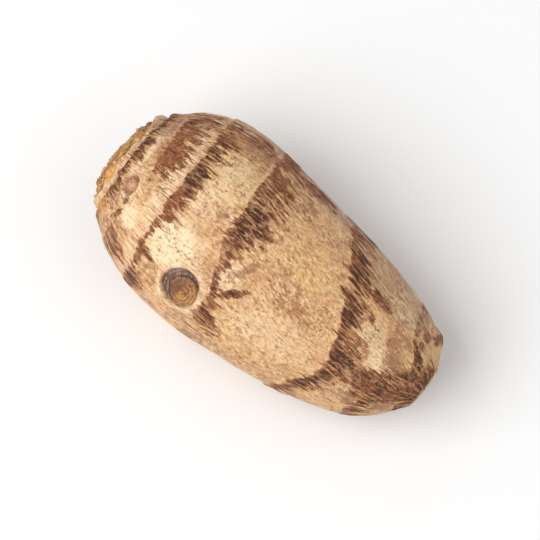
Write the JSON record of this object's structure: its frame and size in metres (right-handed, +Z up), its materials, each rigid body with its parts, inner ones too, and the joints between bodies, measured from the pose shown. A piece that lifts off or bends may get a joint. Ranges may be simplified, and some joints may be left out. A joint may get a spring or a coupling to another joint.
{
  "type": "taro corm",
  "caption": "Small raw taro corm lying on its side: a blunt egg-shaped underground stem with ringed, mottled brown and buff skin.",
  "frame": {"origin": "middle of the corm's bounding box, on the surface that it lies on", "axes": "+X along the corm from the wide crown to the narrow base, +Z up from the resting flat, +Y across"},
  "size_m": [0.1098, 0.0582, 0.0559],
  "materials": {
    "taro_skin": null
  },
  "bodies": {
    "root": {"taro_corm": "taro_skin"}
  },
  "joints": []
}
